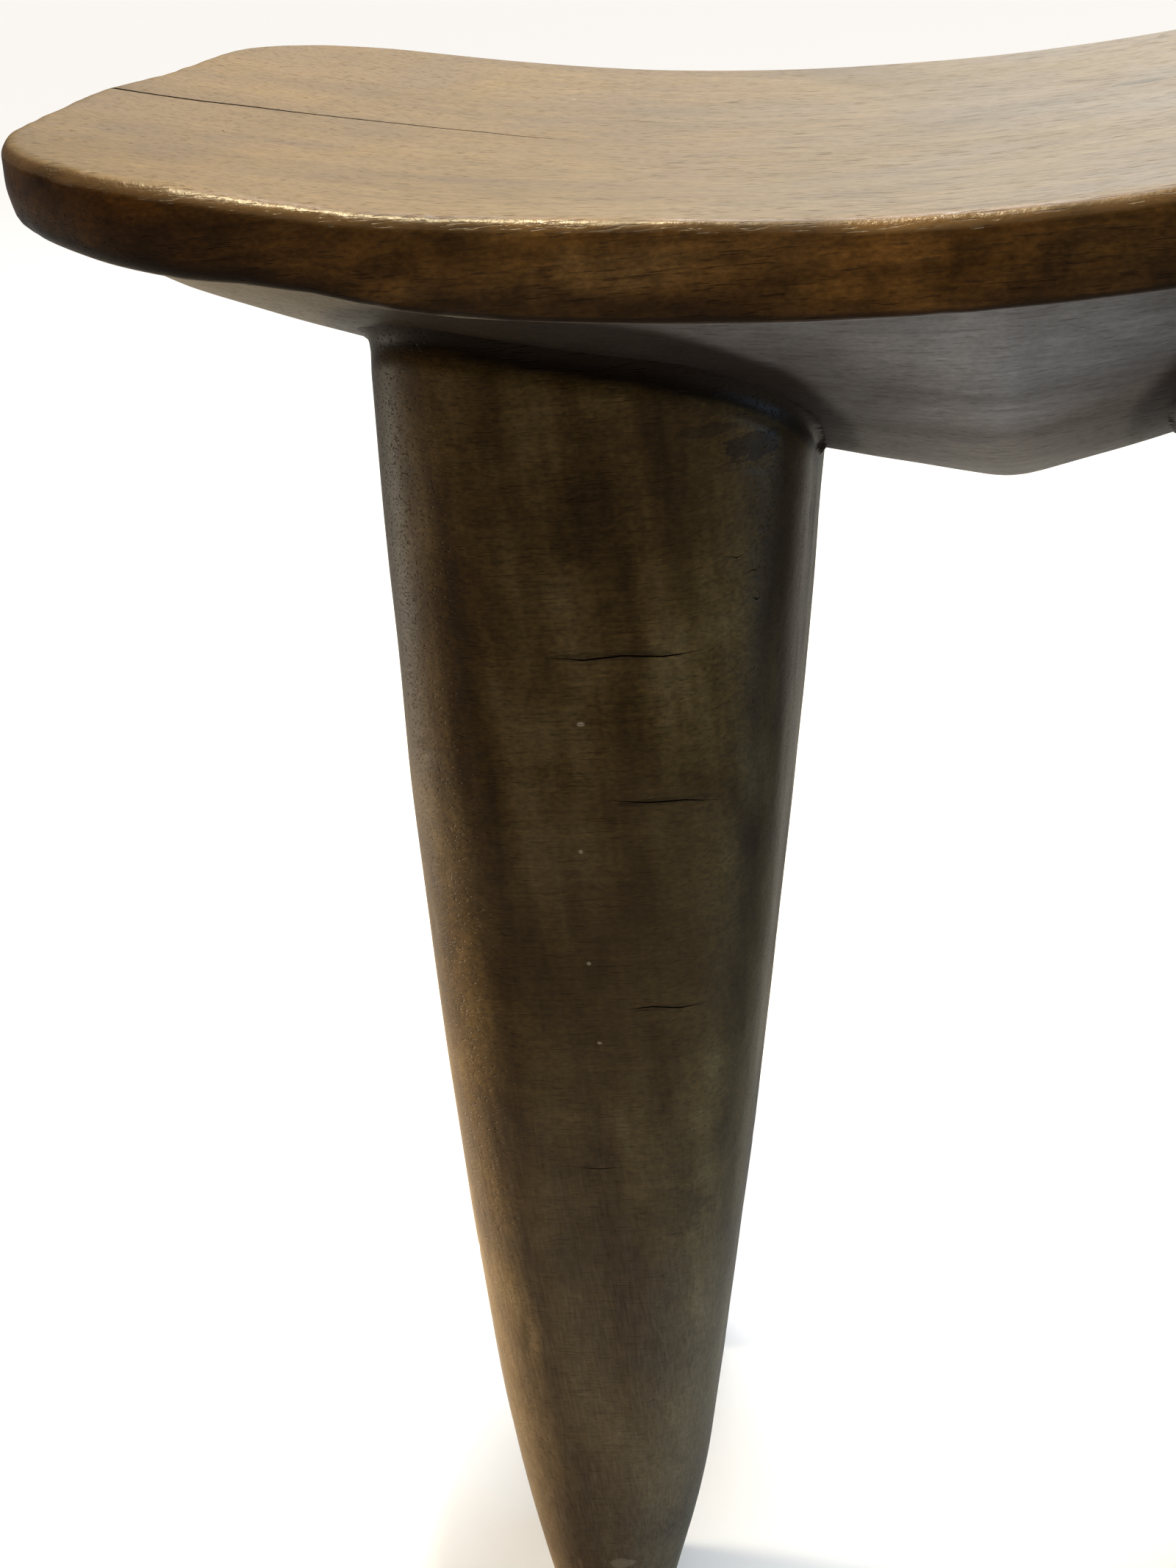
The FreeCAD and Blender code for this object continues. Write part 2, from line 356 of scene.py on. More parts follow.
def make_belly():
    """The keel-shaped underside, as sections along X with their tops hidden in the plank."""
    xs = np.linspace(-BELLY_END, BELLY_END, 244)
    across = np.sin(np.linspace(-1, 1, 121) * math.pi / 2) * 0.999
    rings = []
    for x in xs:
        half, depth = belly_shape(x)
        y = across * half
        lower = np.column_stack([np.full_like(y, x), y, belly_z(np.full_like(y, x), y)])
        upper = np.column_stack([np.full(3, x), [half, 0, -half], np.full(3, under_z(x) + BELLY_SINK)])
        rings.append(np.concatenate([lower, upper]))
    columns = len(rings[0])
    faces = bridge(len(rings), columns)
    faces.append(tuple(range(columns)))
    last = (len(rings) - 1) * columns
    faces.append(tuple(last + c for c in reversed(range(columns))))
    obj = make_object("belly_wood", np.concatenate(rings), faces)
    mesh = obj.data
    co, no = coordinates(mesh), normals(mesh)
    down = smooth(-no[:, 2], 0.05, 0.3)
    d = down * (0.0005 * noise(co, (0.035, 0.03, 0.03), 21)
                + 0.00018 * noise(co, (0.012, 0.012, 0.012), 22))
    push(mesh, d)
    # painted shade round each leg's root, where it meets the belly
    shade_and_dirt = np.zeros(len(co))
    halo, power = 0.006, 2.6
    for side, row, foot in LEGS:
        a, b = leg_section(co[:, 2])
        u = (co[:, 0] - side * (foot - LEG_SPLAY * co[:, 2])) / (a + halo)
        v = (co[:, 1] - row * LEG_ROW) / (b + halo)
        reach = (np.abs(u) ** power + np.abs(v) ** power) ** (1 / power)
        reach = reach + 0.03 * noise(co, 0.012, 23)
        painted_shade = 0.50 * (1 - smooth(reach, 1.01, 1.09)) + 0.50 * (1 - smooth(reach, 1.04, 1.60))
        shade_and_dirt = np.maximum(shade_and_dirt, painted_shade)
    paint(mesh, "zone", np.zeros(len(co)), np.zeros(len(co)), np.ones(len(co)))
    paint(mesh, "wear_and_shade", np.zeros(len(co)), 0.95 * shade_and_dirt, np.zeros(len(co)))
    return obj


# ---------------------------------------------------------------- the legs

half_a = natural(LEG_H, LEG_A)
half_b = natural(LEG_H, LEG_B)


def leg_section(h):
    """Half sizes of a leg's section at height h, along X and along Y."""
    return half_a(h), half_b(h)


def make_leg(name, side, row, foot, seed):
    """A bullet-shaped leg with a squarish section, running into the belly with a small fillet."""
    columns = 200
    theta = np.linspace(0, 2 * math.pi, columns, endpoint=False)
    c, s = np.cos(theta), np.sin(theta)
    toe = 0.0032    # radius of the foot's lower edge
    tops = 40       # rings between the last even one and the leg's hidden top
    heights = np.concatenate([toe * (1 - np.cos(np.linspace(0, math.pi / 2, 6))),
                              np.arange(0.0045, 0.2695, 0.00145)])
    sections = []

    def ring(h):
        """The axis's X and the section's radius for each column, at heights h."""
        a, b = leg_section(h)
        power = FOOT_SQUARE + (LEG_SQUARE - FOOT_SQUARE) * smooth(h, 0.01, 0.12)
        radius = (np.abs(c / (a * LEG_SLIM)) ** power + np.abs(s / b) ** power) ** (-1 / power)
        x0 = side * (foot - LEG_INSET - LEG_SPLAY * h)
        return x0, radius

    for h in heights:
        hh = np.full(columns, h)
        x0, radius = ring(hh)
        if h < toe:
            radius = radius - (toe - math.sqrt(toe ** 2 - (toe - h) ** 2))
        sections.append((hh, x0, radius))
    start = heights[-1]
    # above the last even ring each column climbs to just inside the belly
    for k in range(1, tops + 1):
        t = k / tops
        hh = np.full(columns, start)
        for _ in range(6):
            x0, radius = ring(hh)
            ceiling = belly_z(x0 + radius * c, row * LEG_ROW + radius * s)
            hh = start + (ceiling + LEG_SINK - start) * t
        x0, radius = ring(hh)
        sections.append((hh, x0, radius))
    rings = []
    for hh, x0, radius in sections:
        x, y = x0 + radius * c, row * LEG_ROW + radius * s
        wide = FILLET * (1 + 0.22 * noise(np.column_stack([x, y, hh * 0]), 0.02, seed + 0.5))
        grow = 0.0
        for _ in range(3):
            gap = np.clip(belly_z(x + grow * c, y + grow * s) - hh, 0, None)
            inside = np.clip(wide - gap, 0, wide)
            grow = wide - np.sqrt(np.maximum(wide ** 2 - inside ** 2, 0))
            face = smooth(np.abs(s), 0.30, 0.75)
            grow = grow * (1 - face) - face * GROOVE * (1 - smooth(gap, 0.0015, 0.0085))
        rings.append(np.column_stack([x + grow * c, y + grow * s, hh]))
    base = rings[0]
    centre = np.array([side * foot, row * LEG_ROW, 0.0])
    caps = [centre + (base - centre) * t for t in (0.25, 0.5, 0.75)]
    all_rings = caps + rings
    crown = all_rings[-1]
    top_centre = crown.mean(0)
    all_rings += [top_centre + (crown - top_centre) * t for t in (0.66, 0.33)]
    verts = np.concatenate(all_rings + [centre[None], top_centre[None]])
    faces = bridge(len(all_rings), columns)
    n = len(all_rings) * columns
    last = n - columns
    for k in range(columns):
        m = (k + 1) % columns
        faces.append((k, n, m))
        faces.append((last + k, last + m, n + 1))
    obj = make_object(name, verts, faces)
    mesh = obj.data
    co, no = coordinates(mesh), normals(mesh)
    flat = smooth(np.abs(no[:, 2]), 0.6, 0.9)
    body = 1 - flat
    gap = belly_z(co[:, 0], co[:, 1]) - co[:, 2]
    hidden = 1 - smooth(gap, 0.0, 0.004)
    d = 0.0006 * noise(co, (0.03, 0.03, 0.07), seed)
    d += 0.00025 * noise(co, (0.012, 0.012, 0.03), seed + 1)
    d += 0.00007 * noise(co, (0.003, 0.003, 0.02), seed + 2)
    d -= 0.00022 * smooth(noise(co, (0.006, 0.006, 0.005), seed + 3), 0.62, 0.95)
    foot_wear = 1 - smooth(co[:, 2], 0.0, 0.022)
    d -= foot_wear * 0.0007 * smooth(noise(co, 0.005, seed + 4), 0.2, 0.8)
    push(mesh, d * body * (1 - hidden))
    # painted shade where the leg runs under the belly, on the inner side, and on the upper part of the
    # outer side, where the seat shades it
    shade_and_dirt = 1 - smooth(gap + 0.0008 * noise(co, 0.01, seed + 5), 0.0042, 0.0058)
    inner = smooth(-side * no[:, 0], 0.45, 0.85)
    shade_and_dirt = np.maximum(shade_and_dirt, 0.60 * inner * smooth(co[:, 2], 0.10, 0.20))
    outer = smooth(side * no[:, 0], 0.35, 0.80)
    ragged = co[:, 2] + 0.012 * noise(co, 0.02, seed + 8)
    shade_and_dirt = np.maximum(shade_and_dirt, 0.85 * outer * smooth(ragged, 0.16, 0.25))
    scrape = 1 - smooth(co[:, 2] + 0.03 * noise(co, 0.05, seed + 6), 0.06, 0.22)
    paint(mesh, "zone", np.zeros(len(co)), np.zeros(len(co)), np.zeros(len(co)))
    paint(mesh, "wear_and_shade", 0.5 * foot_wear * smooth(noise(co, 0.006, seed + 7), -0.2, 0.5), shade_and_dirt, scrape)
    return obj


# ---------------------------------------------------------------- cracks and pits

WEDGE_CLEAR = 0.0015    # a wedge's open side stands this far out of the wood


def wedge(points, widths, depth, normal, side_axis):
    """A thin closed wedge along a polyline, to be cut out of the wood."""
    verts, faces = [], []
    up = Vector(normal).normalized()
    for p, w in zip(points, widths):
        p = Vector(p)
        across = Vector(side_axis).normalized() * (w / 2)
        verts += [p + across + up * WEDGE_CLEAR, p - across + up * WEDGE_CLEAR, p - up * depth]
    for k in range(len(points) - 1):
        a, b = 3 * k, 3 * k + 3
        for m in range(3):
            n = (m + 1) % 3
            faces.append((a + m, a + n, b + n, b + m))
    last = 3 * (len(points) - 1)
    faces += [(2, 1, 0), (last, last + 1, last + 2)]
    return verts, faces


def colours(mesh, name):
    """A stored set of masks, one row per vertex."""
    values = np.empty(len(mesh.vertices) * 4)
    mesh.attributes[name].data.foreach_get("color", values)
    return values.reshape(-1, 4)


def copy_masks(mesh, points, masks):
    """Give each vertex the masks of the nearest of the points; a cut leaves new vertices without."""
    tree = KDTree(len(points))
    for index, point in enumerate(points):
        tree.insert(point, index)
    tree.balance()
    nearest = [tree.find(point)[1] for point in coordinates(mesh)]
    for name, values in masks.items():
        mesh.attributes[name].data.foreach_set("color", values[nearest].ravel())


def cut(obj, wedges, name, lining):
    """Cut wedges out of obj for good; the cut faces take the lining material."""
    verts, faces = [], []
    for v, f in wedges:
        base = len(verts)
        verts += [tuple(p) for p in v]
        faces += [tuple(base + k for k in face) for face in f]
    knife = make_object(name, verts, faces)
    knife.data.materials.append(lining)
    before = coordinates(obj.data)
    masks = {layer: colours(obj.data, layer) for layer in ("zone", "wear_and_shade")}
    trim = obj.modifiers.new("cracks", "BOOLEAN")
    trim.operation = "DIFFERENCE"
    trim.solver = "EXACT"
    trim.material_mode = "TRANSFER"
    trim.use_self = False
    trim.object = knife
    graph = bpy.context.evaluated_depsgraph_get()
    result = bpy.data.meshes.new_from_object(obj.evaluated_get(graph))
    obj.modifiers.clear()
    # a cut that failed leaves too little of the mesh, and the wood stays whole
    if len(result.vertices) > 0.9 * len(before):
        obj.data = result
        copy_masks(result, before, masks)
        obj.data.set_sharp_from_angle(angle=math.radians(38))
    bpy.data.objects.remove(knife)


# ---------------------------------------------------------------- the wood

class Nodes:
    """Short calls for building one node tree."""

    def __init__(self, tree):
        self.tree = tree

    def new(self, kind, **settings):
        node = self.tree.nodes.new(kind)
        for key, value in settings.items():
            setattr(node, key, value)
        return node

    def link(self, source, target):
        self.tree.links.new(source, target)

    def noise(self, vector, stretch, detail=3.0, rough=0.55, distortion=0.0):
        mapping = self.new("ShaderNodeMapping")
        mapping.inputs["Scale"].default_value = stretch
        self.link(vector, mapping.inputs["Vector"])
        node = self.new("ShaderNodeTexNoise")
        node.inputs["Scale"].default_value = 1.0
        node.inputs["Detail"].default_value = detail
        node.inputs["Roughness"].default_value = rough
        node.inputs["Distortion"].default_value = distortion
        self.link(mapping.outputs["Vector"], node.inputs["Vector"])
        return node.outputs["Fac"]

    def ramp(self, value, stops):
        node = self.new("ShaderNodeValToRGB")
        elements = node.color_ramp.elements
        while len(elements) < len(stops):
            elements.new(0.5)
        for element, (place, colour) in zip(elements, stops):
            element.position = place
            element.color = (*colour, 1) if isinstance(colour, tuple) else (colour, colour, colour, 1)
        self.link(value, node.inputs["Fac"])
        return node.outputs["Color"]

    def mix(self, factor, a, b, blend="MIX"):
        node = self.new("ShaderNodeMix", data_type="RGBA", blend_type=blend)
        for socket, value in (("Factor_Float", factor), ("A_Color", a), ("B_Color", b)):
            target = next(s for s in node.inputs if s.identifier == socket)
            if isinstance(value, (int, float)):
                target.default_value = value
            elif isinstance(value, tuple):
                target.default_value = (*value, 1)
            else:
                self.link(value, target)
        return next(s for s in node.outputs if s.identifier == "Result_Color")

    def math(self, operation, a, b=0.0, c=0.0):
        node = self.new("ShaderNodeMath", operation=operation)
        for k, value in enumerate((a, b, c)):
            if isinstance(value, (int, float)):
                node.inputs[k].default_value = value
            else:
                self.link(value, node.inputs[k])
        return node.outputs[0]

    def spot(self, where, centre, size, warp):
        """1 inside an uneven blot of the given half sizes about centre, 0 outside."""
        mapping = self.new("ShaderNodeMapping")
        mapping.inputs["Scale"].default_value = [1 / k for k in size]
        mapping.inputs["Location"].default_value = [-p / k for p, k in zip(centre, size)]
        self.link(where, mapping.inputs["Vector"])
        reach = self.new("ShaderNodeVectorMath", operation="LENGTH")
        self.link(mapping.outputs["Vector"], reach.inputs[0])
        uneven = self.noise(where, (320, 320, 520), 3, 0.6)
        ragged = self.math("MULTIPLY_ADD", uneven, warp, reach.outputs["Value"])
        full, none = 0.62 + warp * 0.5, min(1.0, 0.78 + warp * 0.5)
        return self.ramp(ragged, [(0.0, 1.0), (full, 0.85), (none, 0.0)])

    def masks(self, name):
        """The three masks of one colour attribute."""
        layer = self.new("ShaderNodeAttribute", attribute_name=name, attribute_type="GEOMETRY")
        split = self.new("ShaderNodeSeparateColor")
        self.link(layer.outputs["Color"], split.inputs["Color"])
        return [split.outputs[k] for k in range(3)]


DARK = (0.0070, 0.0040, 0.0020)
PALE = (0.1700, 0.1300, 0.0850)
# knots, stains and pale bruises: centre, half sizes, raggedness, strength, colour
SPOTS = [
    ((-0.0400, -0.0760, 0.2760), (0.0085, 0.0200, 0.0050), 0.9, 0.80, DARK),
    ((-0.0465, -0.0790, 0.2800), (0.0100, 0.0200, 0.0022), 0.9, 0.55, DARK),
    ((-0.1000, -0.0800, 0.2050), (0.0120, 0.0200, 0.0300), 0.8, 0.30, DARK),
    ((-0.0700, -0.0800, 0.1180), (0.0160, 0.0200, 0.0110), 0.9, 0.28, DARK),
    ((-0.0690, -0.0830, 0.2404), (0.0200, 0.0200, 0.0013), 0.8, 0.45, DARK),
    ((-0.0620, -0.0800, 0.2113), (0.0150, 0.0200, 0.0012), 0.8, 0.40, DARK),
    ((-0.0670, -0.0800, 0.1672), (0.0120, 0.0200, 0.0012), 0.8, 0.35, DARK),
    ((0.0880, -0.0780, 0.1900), (0.0070, 0.0200, 0.0045), 0.9, 0.75, DARK),
    ((0.0950, 0.0820, 0.1450), (0.0080, 0.0200, 0.0050), 0.9, 0.75, DARK),
    ((-0.0700, 0.0850, 0.2300), (0.0100, 0.0200, 0.0060), 0.9, 0.65, DARK),
    ((0.0300, 0.0300, 0.3160), (0.0110, 0.0050, 0.0100), 0.9, 0.45, DARK),
    ((-0.0751, -0.0830, 0.2276), (0.0010, 0.0060, 0.0006), 0.5, 0.80, PALE),
    ((-0.0785, -0.0820, 0.2018), (0.0006, 0.0060, 0.0006), 0.2, 0.80, PALE),
    ((-0.0802, -0.0810, 0.1777), (0.0006, 0.0060, 0.0006), 0.2, 0.80, PALE),
    ((-0.0805, -0.0800, 0.1597), (0.0007, 0.0060, 0.0005), 0.2, 0.80, PALE),
    ((-0.0900, 0.0482, 0.3217), (0.0009, 0.0009, 0.0040), 0.2, 0.90, PALE),
    ((-0.1440, -0.0990, 0.3345), (0.0080, 0.0100, 0.0022), 0.9, 0.55, PALE),
    ((-0.0950, -0.0640, 0.0180), (0.0050, 0.0200, 0.0030), 0.9, 0.35, PALE),
]


def make_wood(name, gloss):
    """One dark handled wood for the whole carving, its grain along X; the plank is glossier."""
    material = bpy.data.materials.new(name)
    material.use_nodes = True
    n = Nodes(material.node_tree)
    n.tree.nodes.clear()
    where = n.new("ShaderNodeTexCoord").outputs["Object"]
    top, rim, under = n.masks("zone")
    edge, shade_and_dirt, scrape = n.masks("wear_and_shade")

    streak = n.noise(where, (7, 95, 95), 5, 0.62, 0.25)
    fibre = n.noise(where, (35, 900, 900), 3, 0.6)
    blotch = n.noise(where, (22, 22, 16), 4, 0.6, 0.6)
    stain = n.noise(where, (9, 13, 11), 3, 0.5, 1.0)
    pore = n.noise(where, (190, 2300, 2300), 1.5, 0.5)
    scratch = n.noise(where, (1900, 1900, 75), 3, 0.6)

    # body colour of legs: dark olive brown, mottled, with streaks
    mottle = n.math("ADD", n.math("MULTIPLY", streak, 0.45), n.math("MULTIPLY", blotch, 0.55))
    patch = n.noise(where, (34, 34, 24), 6, 0.62, 0.4)
    column = n.noise(where, (90, 90, 9), 4, 0.6, 0.3)
    leg_mottle = n.math("ADD", n.math("MULTIPLY", streak, 0.10), n.math("MULTIPLY", patch, 0.50))
    leg_mottle = n.math("MULTIPLY_ADD", column, 0.40, leg_mottle)
    leg = n.ramp(leg_mottle, [(0.38, (0.0100, 0.0047, 0.0010)), (0.46, (0.0205, 0.0107, 0.0024)),
                              (0.53, (0.0330, 0.0190, 0.0054)), (0.62, (0.0520, 0.0335, 0.0125))])
    worn = n.ramp(mottle, [(0.34, (0.106, 0.0800, 0.0540)), (0.45, (0.130, 0.1010, 0.0700)),
                           (0.56, (0.152, 0.1210, 0.0880)), (0.70, (0.180, 0.1500, 0.1130))])
    side = n.ramp(mottle, [(0.35, (0.0200, 0.0094, 0.0020)), (0.46, (0.0710, 0.0310, 0.0061)),
                           (0.55, (0.1500, 0.0680, 0.0150)), (0.67, (0.2700, 0.1410, 0.0410))])
    belly = n.ramp(mottle, [(0.33, (0.052, 0.046, 0.042)), (0.47, (0.080, 0.073, 0.069)),
                            (0.60, (0.112, 0.104, 0.100)), (0.72, (0.150, 0.141, 0.136))])
    along = n.new("ShaderNodeSeparateXYZ")
    n.link(where, along.inputs["Vector"])
    # painted shading of the dish's sheen: darker and yellower towards its left end, paler and greyer to
    # the right
    place = n.math("MULTIPLY_ADD", along.outputs["X"], 2.5, 0.5)
    painted_sheen = n.ramp(place, [(0.06, (0.70, 0.56, 0.25)), (0.13, (0.75, 0.60, 0.28)),
                          (0.31, (0.76, 0.65, 0.40)), (0.50, (0.83, 0.81, 0.75)),
                          (0.80, (0.90, 0.89, 0.85))])
    worn = n.mix(1.0, worn, painted_sheen, "MULTIPLY")
    colour = n.mix(top, leg, worn)
    # painted shade along the rim: darker towards its left end
    shade = n.ramp(place, [(0.15, (0.40, 0.34, 0.22)), (0.32, (0.59, 0.62, 0.70)),
                           (0.47, (0.70, 0.68, 0.66)), (0.56, (0.88, 0.90, 0.98)),
                           (0.90, (0.78, 0.78, 0.80))])
    side = n.mix(1.0, side, shade, "MULTIPLY")
    smear = n.ramp(n.noise(where, (130, 150, 210), 4, 0.6, 0.5), [(0.38, 0.70), (0.62, 1.20)])
    colour = n.mix(rim, colour, n.mix(1.0, side, smear, "MULTIPLY"))
    outer = n.ramp(n.math("ABSOLUTE", along.outputs["X"]), [(0.045, 0.0), (0.115, 1.0)])
    belly = n.mix(n.math("MULTIPLY", outer, 0.85), belly, (0.105, 0.078, 0.042))
    colour = n.mix(under, colour, belly)
    # fine fibres, dark open pores, old stains
    soft = n.math("MULTIPLY_ADD", n.math("MAXIMUM", under, top), -0.42, 0.70)
    faint = n.math("MULTIPLY_ADD", n.math("MAXIMUM", rim, top), 0.10, 0.26)
    colour = n.mix(faint, colour, n.ramp(fibre, [(0.32, 0.55), (0.68, 1.5)]), "MULTIPLY")
    grit = n.noise(where, (750, 1500, 1500), 3, 0.65)
    colour = n.mix(soft, colour, n.ramp(grit, [(0.34, 0.60), (0.66, 1.45)]), "MULTIPLY")
    pores = n.ramp(pore, [(0.60, 0.0), (0.70, 1.0)])
    open_pores = n.math("MULTIPLY_ADD", n.math("ADD", top, rim), 0.32, 0.20)
    colour = n.mix(n.math("MULTIPLY", pores, open_pores), colour, (0.014, 0.008, 0.004))
    stains = n.ramp(stain, [(0.50, 0.0), (0.68, 1.0)])
    colour = n.mix(n.math("MULTIPLY", stains, 0.35), colour, (0.030, 0.018, 0.009))
    scrapes = n.math("MULTIPLY", n.ramp(scratch, [(0.35, 0.0), (0.75, 1.0)]), scrape)
    colour = n.mix(n.math("MULTIPLY", scrapes, 0.22), colour, (0.150, 0.108, 0.066))
    colour = n.mix(n.math("MULTIPLY", scrape, 0.14), colour, (0.150, 0.115, 0.080))
    for centre, size, warp, strength, stain_colour in SPOTS:
        spot = n.math("MULTIPLY", n.spot(where, centre, size, warp), strength)
        colour = n.mix(spot, colour, stain_colour)
    # handling polishes the arrises to a golden brown; painted shade darkens the corners, the rim's
    # lower part, the legs' roots and the legs' shaded sides, with dark patches on the rim
    colour = n.mix(n.math("MULTIPLY", edge, 0.55), colour, (0.230, 0.140, 0.062))
    colour = n.mix(n.math("MULTIPLY", shade_and_dirt, 0.96), colour, (0.0045, 0.0024, 0.0012))

    shader = n.new("ShaderNodeBsdfPrincipled")
    n.link(colour, shader.inputs["Base Color"])
    rough = n.math("ADD", n.math("MULTIPLY", blotch, 0.22), 0.40)
    rough = n.math("MULTIPLY_ADD", top, 0.14, rough)
    rough = n.math("SUBTRACT", rough, n.math("MULTIPLY", edge, 0.27))
    rough = n.math("ADD", rough, n.math("MULTIPLY", pores, 0.15))
    n.link(rough, shader.inputs["Roughness"])
    shader.inputs["Specular IOR Level"].default_value = gloss

    height = n.math("ADD", n.math("MULTIPLY", fibre, 0.5), n.math("MULTIPLY", pores, -0.8))
    height = n.math("ADD", height, n.math("MULTIPLY", n.math("MULTIPLY", scratch, scrape), 0.2))
    height = n.math("ADD", height, n.math("MULTIPLY", n.noise(where, (300, 420, 420), 4, 0.6), 0.7))
    height = n.math("ADD", height, n.math("MULTIPLY", n.noise(where, (1100, 1100, 1100), 2, 0.5), edge))
    bump = n.new("ShaderNodeBump")
    bump.inputs["Strength"].default_value = 0.55
    bump.inputs["Distance"].default_value = 0.00025
    n.link(height, bump.inputs["Height"])
    n.link(bump.outputs["Normal"], shader.inputs["Normal"])
    output = n.new("ShaderNodeOutputMaterial")
    n.link(shader.outputs["BSDF"], output.inputs["Surface"])
    return material


def make_crack_lining():
    """Painted shade deep in the cracks: a near-black lining for the faces a cut leaves."""
    material = bpy.data.materials.new("crack_lining")
    material.use_nodes = True
    n = Nodes(material.node_tree)
    shader = material.node_tree.nodes["Principled BSDF"]
    where = n.new("ShaderNodeTexCoord").outputs["Object"]
    painted_shade = n.noise(where, (500, 500, 500), 3, 0.6)
    colour = n.ramp(painted_shade, [(0.3, (0.0030, 0.0016, 0.0008)), (0.7, (0.0120, 0.0070, 0.0035))])
    n.link(colour, shader.inputs["Base Color"])
    n.link(n.math("MULTIPLY_ADD", painted_shade, 0.2, 0.75), shader.inputs["Roughness"])
    shader.inputs["Specular IOR Level"].default_value = 0.05
    return material


# ---------------------------------------------------------------- the object

plank_wood = make_wood("handled_wood", 0.25)
leg_wood = make_wood("dark_wood", 0.03)
crack_wood = make_crack_lining()
seat = make_seat()
belly = make_belly()
legs = [("leg_front_left", 31), ("leg_front_right", 41), ("leg_back_left", 51), ("leg_back_right", 61)]
pieces = [(seat, "seat"), (belly, "belly")]
for (node, seed), (side, row, foot) in zip(legs, LEGS):
    pieces.append((make_leg(node + "_wood", side, row, foot, seed), node))

for piece, node in pieces:
    piece.data.materials.append(plank_wood if node == "seat" else leg_wood)
    piece.data.polygons.foreach_set("use_smooth", [True] * len(piece.data.polygons))
    if node == "seat":
        # the plank's rim and underside have the legs' duller finish
        piece.data.materials.append(leg_wood)
        tilt = np.empty(len(piece.data.polygons) * 3)
        piece.data.polygons.foreach_get("normal", tilt)
        piece.data.polygons.foreach_set("material_index", (tilt[2::3] < 0.30).astype(int))

# drying cracks and nicks, cut as thin wedges: along the grain in the plank, across the legs
long_crack = [(-0.1735, -0.0100), (-0.160, -0.0062), (-0.146, -0.0022), (-0.130, -0.0006),
              (-0.115, -0.0002), (-0.100, -0.0016), (-0.088, -0.0048), (-0.080, -0.0062)]
CRACK_WIDTHS = [0.0020, 0.0018, 0.0015, 0.0012, 0.0010, 0.0008, 0.0006, 0.0002]


def on_top(path, widths, depth):
    """A wedge that follows a path across the dish."""
    return wedge([(x, y, float(top_z(x))) for x, y in path], widths, depth, (0, 0, 1), (0, 1, 0))


def short_crack(x, y, length, width, depth):
    """A wedge for a short crack on the dish, starting at (x, y)."""
    path = [(x + length * t, y + 0.0007 * math.sin(5 * t)) for t in (0.0, 0.3, 0.7, 1.0)]
    return on_top(path, [width * 0.1, width, width * 0.8, width * 0.1], depth)


cut(seat, [on_top(long_crack, CRACK_WIDTHS, 0.0045),
           short_crack(-0.0755, 0.0212, 0.011, 0.0008, 0.0012),
           short_crack(-0.0625, 0.0216, 0.012, 0.0005, 0.0009),
           short_crack(-0.1480, 0.0460, 0.016, 0.0005, 0.0010),
           short_crack(0.0600, -0.0400, 0.022, 0.0005, 0.0010),
           short_crack(0.1180, 0.0280, 0.035, 0.0007, 0.0020),
           short_crack(-0.1421, -0.0326, 0.0016, 0.0009, 0.0010)], "seat_cracks", crack_wood)


def leg_front(side, row, foot, x, h):
    """The point on a leg's front or back face at x and height h, and the way out of the wood there."""
    a, b = leg_section(np.array([h]))
    a, b = float(a[0]) * LEG_SLIM, float(b[0])
    u = (x - side * (foot - LEG_SPLAY * h)) / a
    v = (1 - abs(u) ** LEG_SQUARE) ** (1 / LEG_SQUARE)
    steep = LEG_SQUARE - 1
    out = Vector((math.copysign(abs(u) ** steep / a, u), row * v ** steep / b, 0)).normalized()
    return (x, row * (LEG_ROW + b * v), h), out


def leg_crack(number, path, width, depth):
    """A wedge that follows a path of (x, height) pairs across a leg's face."""
    side, row, foot = LEGS[number]
    ends = [leg_front(side, row, foot, x, h) for x, h in path]
    out = sum((o for _, o in ends), Vector()) / len(ends)
    count = len(path)
    widths = [width * (0.12 if k in (0, count - 1) else 1.0) for k in range(count)]
    return wedge([p for p, _ in ends], widths, depth, out, (0, 0, 1))


def scattered_cracks(number, seed):
    """A few short cracks at random places on a leg that the photo doesn't show."""
    side, row, foot = LEGS[number]
    pick = np.random.default_rng(seed)
    cracks = []
    for _ in range(5):
        h = float(pick.uniform(0.07, 0.25))
        length = float(pick.uniform(0.008, 0.026))
        x = side * (foot - LEG_SPLAY * h) + float(pick.uniform(-0.022, 0.022)) * h / 0.25
        rise = float(pick.uniform(-0.0006, 0.0012))
        path = []
        for t in (0, 0.25, 0.5, 0.75, 1):
            px, ph = x + length * (t - 0.5), h + rise * t + 0.0003 * math.sin(9 * t)
            half = leg_section(np.array([ph]))[0][0]
            if abs(px - side * (foot - LEG_SPLAY * ph)) < 0.85 * half:
                path.append((px, ph))
        if len(path) > 2:
            cracks.append(leg_crack(number, path, 0.00050, 0.0026))
    return cracks


